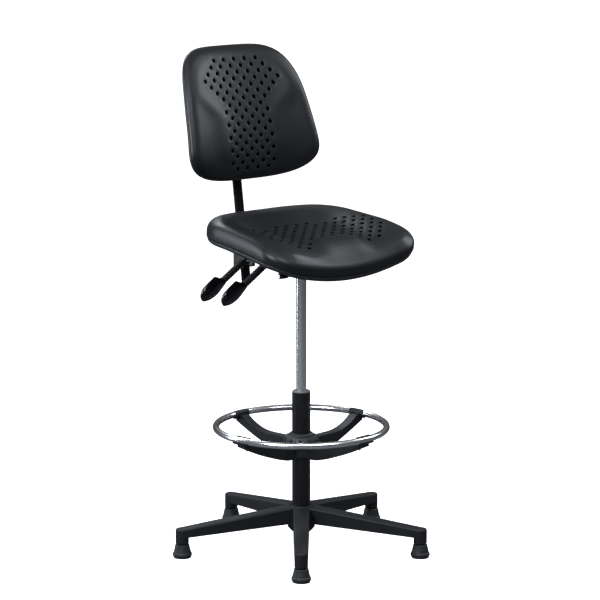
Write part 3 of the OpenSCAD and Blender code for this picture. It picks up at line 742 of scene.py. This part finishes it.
def make_back_pad():
    """The back's foam: perforated front, rolled edge and a plain rear that meets the shell."""
    pad = Pad()
    turns = [math.radians(t) for t in (*range(-ROLL_START, 31, 10), SEAM_TURN)]
    rings = [back_ring(BACK_ROLL * (1 - math.cos(t)), BACK_T / 2 * (1 + math.sin(t))) for t in turns]
    rings.append(back_ring(SHELL_INSET, SHELL_DEPTH))
    ids = [pad.add(r) for r in rings]
    for near, far in zip(ids, ids[1:]):
        pad.bridge(far, near)
    rim_flat = [back_outline(a, FLAT_INSET) for a in back_angles]
    holes = back_holes()
    grid = []
    for x, z in lattice(BACK_PITCH, range(-26, 27), range(-16, 36), BACK_WIDE):
        if back_share(x, z, FLAT_INSET + BACK_RIM_GAP) < 1 and clear_of(holes, x, z):
            grid.append((x, z))
    pad.perforate(ids[0], rim_flat, holes, back_surface, BACK_HOLE_DEPTH, grid)
    last = ids[-1]
    for share in INNER_SHARES:
        ring = pad.add(back_ring(SHELL_INSET, SHELL_DEPTH, share))
        pad.bridge(ring, last)
        last = ring
    pad.cap(last, back_middle(SHELL_DEPTH), flip=True)
    obj = build("back_cushion", pad.points, pad.faces, FOAM, pad.inside, PAINTED_HOLE_SHADE)
    tie(obj, "backrest", "skin_foam", "back_pad")


def make_back_shell():
    """The plain cover behind the back pad, with a rounded edge."""
    shell = Pad()
    near = SHELL_DEPTH + SHELL_CLEAR
    outwards = INNER_SHARES[::-1]
    first = shell.add(back_ring(SHELL_INSET, near, outwards[0]))
    shell.cap(first, back_middle(near))
    rings = [back_ring(SHELL_INSET, near, share) for share in (*outwards[1:], 1.0)]
    rings += [back_ring(0.0104, near + 0.002), back_ring(0.0118, BACK_T - 0.003),
              back_ring(0.0145, BACK_T - 0.001), back_ring(SHELL_BACK_INSET, BACK_T)]
    rings += [back_ring(SHELL_BACK_INSET, BACK_T, share) for share in INNER_SHARES]
    ids = [first] + [shell.add(r) for r in rings]
    for a, b in zip(ids, ids[1:]):
        shell.bridge(b, a)
    shell.cap(ids[-1], back_middle(BACK_T), flip=True)
    tie(build("back_cover", shell.points, shell.faces, BAND), "backrest", "pan_plastic", "back_shell")


# ---------- lever grips ----------

# Place of a lever's bend, its slope, and where along it the grip starts
LEVER_Z = 0.786
BEND_X = -0.082
LEVER_SLOPE = math.radians(32)
GRIP_START = 0.096
LEVER_Y = {"height": 0.044, "tilt": 0.131}

GRIP_LENGTH = 0.085
GRIP_ROWS = 34
GRIP_SIDES = 44
# The root's half-size, and how far the upper edge, lower edge and side swell past it
ROOT_HALF = 0.0110
TOP_SWELL = 0.0165
LOW_SWELL = 0.0080
ROOT_HALF_W = 0.0105
SIDE_SWELL = 0.0010
SIDE_TAPER = 0.0015
# Shares of the length: end of the neck, start of the upper edge's fall, start of the rounded nose
NECK_END = 0.20
FALL_FROM = 0.45
NOSE_FROM = 0.70
NOSE_POWER = 2.4
TOP_FALL = 0.22
RIM_THINNING = 0.35


def make_grip(name, body, node, y):
    """A mussel-shaped grip: shallow lower edge, full curved upper edge, thin at its rim."""
    along = Vector((-math.cos(LEVER_SLOPE), 0, -math.sin(LEVER_SLOPE)))
    up = Vector((-math.sin(LEVER_SLOPE), 0, math.cos(LEVER_SLOPE)))
    side = Vector((0, 1, 0))
    root = COLUMN + Vector((BEND_X, y, LEVER_Z)) + along * GRIP_START
    rings = []
    for i in range(GRIP_ROWS + 1):
        t = i / GRIP_ROWS
        nose = math.sqrt(max(0.0, 1 - max(0.0, (t - NOSE_FROM) / (1 - NOSE_FROM)) ** NOSE_POWER))
        neck = smooth(t / NECK_END)
        fall = 1 - TOP_FALL * smooth((t - FALL_FROM) / (1 - FALL_FROM))
        top = (ROOT_HALF + TOP_SWELL * neck * fall) * nose
        low = -(ROOT_HALF + LOW_SWELL * math.sin(math.pi * min(1, t / 0.9))) * nose
        wide = (ROOT_HALF_W + SIDE_SWELL * neck - SIDE_TAPER * t) * nose
        centre, half = (top + low) / 2, (top - low) / 2
        ring = []
        for k in range(GRIP_SIDES):
            a = 2 * math.pi * k / GRIP_SIDES
            v = centre + half * math.sin(a)
            thin = 1 - RIM_THINNING * neck * math.sin(a) ** 2
            u = wide * math.cos(a) * thin
            ring.append(root + along * (t * GRIP_LENGTH) + up * v + side * u)
        rings.append(ring)
    grip = Pad()
    ids = [grip.add(r) for r in rings]
    for a, b in zip(ids, ids[1:]):
        grip.bridge(a, b)
    grip.cap(ids[0], root, flip=True)
    grip.cap(ids[-1], root + along * GRIP_LENGTH)
    tie(build(name, grip.points, grip.faces, GLOSS), body, "gloss_black", node)


make_seat_pad()
make_seat_band()
make_back_pad()
make_back_shell()
make_grip("height_grip", "height_lever", "height_paddle", LEVER_Y["height"])
make_grip("tilt_grip", "tilt_lever", "tilt_paddle", LEVER_Y["tilt"])

# ---------- studio ----------

# Floor as the camera sees it, and as reflections and bounced light see it
FLOOR_PALE = (0.93, 0.93, 0.93)
FLOOR_DIM = (0.10, 0.10, 0.11, 1)
FLOOR_GLOW = 0.86
FLOOR_REACH = 60
LAMP_COLOUR = (0.88, 0.94, 1.0)
# World light below the horizon and overhead, the height at which it is full, and its strength
WORLD_LOW = (0.12, 0.12, 0.13, 1)
WORLD_HIGH = (1.0, 1.0, 1.0, 1)
WORLD_FULL = 0.8
WORLD_STRENGTH = 0.30
SUN_ENERGY = 0.8
SUN_ANGLE = math.radians(60)
SUN_TILT = (math.radians(18), math.radians(-14), 0)
# Camera: focal length and sensor in millimetres, place from the column, and direction
LENS = 161.06
SENSOR_W = 36.0
SHIFT_X = -0.0023
CAMERA_PLACE = Vector((-4.625, -5.321, 2.0))
CAMERA_TURN = math.radians(41)
CAMERA_DIP = math.radians(10.59)


def floor_paint():
    """Near white to the camera, dark in reflections and bounced light, as dark screens would make it."""
    paint = finish("floor_paint", FLOOR_PALE, 0.8, vary=0.01, bump=0.01, level=0.1)
    tree = paint.node_tree
    shader = tree.nodes["Principled BSDF"]
    path = tree.nodes.new("ShaderNodeLightPath")
    screen = tree.nodes.new("ShaderNodeMix")
    screen.data_type = "RGBA"
    screen.inputs["A"].default_value = FLOOR_DIM
    tree.links.new(path.outputs["Is Camera Ray"], screen.inputs["Factor"])
    tree.links.new(shader.inputs["Base Color"].links[0].from_socket, screen.inputs["B"])
    tree.links.new(screen.outputs["Result"], shader.inputs["Base Color"])
    glow = tree.nodes.new("ShaderNodeMath")
    glow.operation = "MULTIPLY"
    glow.inputs[1].default_value = FLOOR_GLOW
    tree.links.new(path.outputs["Is Camera Ray"], glow.inputs[0])
    shader.inputs["Emission Color"].default_value = (1, 1, 1, 1)
    tree.links.new(glow.outputs["Value"], shader.inputs["Emission Strength"])
    return paint


def make_floor():
    mesh = bpy.data.meshes.new("floor")
    corners = [(FLOOR_REACH * x, FLOOR_REACH * y, 0) for x, y in ((-1, -1), (1, -1), (1, 1), (-1, 1))]
    mesh.from_pydata(corners, [], [(0, 1, 2, 3)])
    mesh.materials.append(floor_paint())
    floor = bpy.data.objects.new("floor", mesh)
    bpy.context.scene.collection.objects.link(floor)


def make_light(name, at, towards, size, power):
    """A rectangular soft box that faces a point."""
    lamp = bpy.data.lights.new(name, "AREA")
    lamp.shape = "RECTANGLE"
    lamp.size, lamp.size_y = size
    lamp.energy = power
    lamp.color = LAMP_COLOUR
    obj = bpy.data.objects.new(name, lamp)
    obj.location = at
    obj.rotation_mode = "QUATERNION"
    obj.rotation_quaternion = (Vector(towards) - Vector(at)).to_track_quat("-Z", "Y")
    bpy.context.scene.collection.objects.link(obj)


def make_world():
    """A studio room: dim below and at eye level, brighter overhead."""
    world = bpy.data.worlds.new("studio")
    world.use_nodes = True
    tree = world.node_tree
    sky = tree.nodes["Background"]
    place = tree.nodes.new("ShaderNodeTexCoord")
    split = tree.nodes.new("ShaderNodeSeparateXYZ")
    ramp = tree.nodes.new("ShaderNodeValToRGB")
    ramp.color_ramp.elements[0].position = 0.0
    ramp.color_ramp.elements[0].color = WORLD_LOW
    ramp.color_ramp.elements[1].position = WORLD_FULL
    ramp.color_ramp.elements[1].color = WORLD_HIGH
    tree.links.new(place.outputs["Generated"], split.inputs["Vector"])
    tree.links.new(split.outputs["Z"], ramp.inputs["Fac"])
    tree.links.new(ramp.outputs["Color"], sky.inputs["Color"])
    sky.inputs["Strength"].default_value = WORLD_STRENGTH
    bpy.context.scene.world = world


def make_sun():
    """Soft, even light from above."""
    lamp = bpy.data.lights.new("overhead", "SUN")
    lamp.energy = SUN_ENERGY
    lamp.angle = SUN_ANGLE
    obj = bpy.data.objects.new("overhead", lamp)
    obj.rotation_euler = SUN_TILT
    bpy.context.scene.collection.objects.link(obj)


def make_camera():
    """View from the sitter's right of the front, from 2 m up and slightly downwards."""
    data = bpy.data.cameras.new("camera")
    data.lens, data.sensor_width, data.shift_x = LENS, SENSOR_W, SHIFT_X
    data.clip_start, data.clip_end = 0.1, 60
    data.dof.use_dof = False
    obj = bpy.data.objects.new("camera", data)
    level = math.cos(CAMERA_DIP)
    forward = Vector((math.sin(CAMERA_TURN) * level, math.cos(CAMERA_TURN) * level, -math.sin(CAMERA_DIP)))
    obj.location = COLUMN + CAMERA_PLACE
    obj.rotation_mode = "QUATERNION"
    obj.rotation_quaternion = forward.to_track_quat("-Z", "Y")
    bpy.context.scene.collection.objects.link(obj)
    bpy.context.scene.camera = obj


make_floor()
make_world()
make_camera()
make_sun()
make_light("left_box", (-3.2, -0.9, 2.5), (0, 0, 0.9), (1.6, 1.6), 135)
make_light("left_strip", (-2.0, 2.2, 1.3), (0, 0, 0.9), (0.5, 2.2), 45)
make_light("right_box", (2.9, -0.8, 2.6), (0, 0, 0.8), (1.0, 1.8), 45)
make_light("front_top", (-0.4, -3.0, 3.6), (0, 0, 0.9), (2.2, 1.2), 70)
make_light("rear_top", (0.6, 3.0, 3.2), (0, 0, 0.9), (2.0, 0.8), 60)
bpy.context.scene.view_settings.view_transform = "Standard"
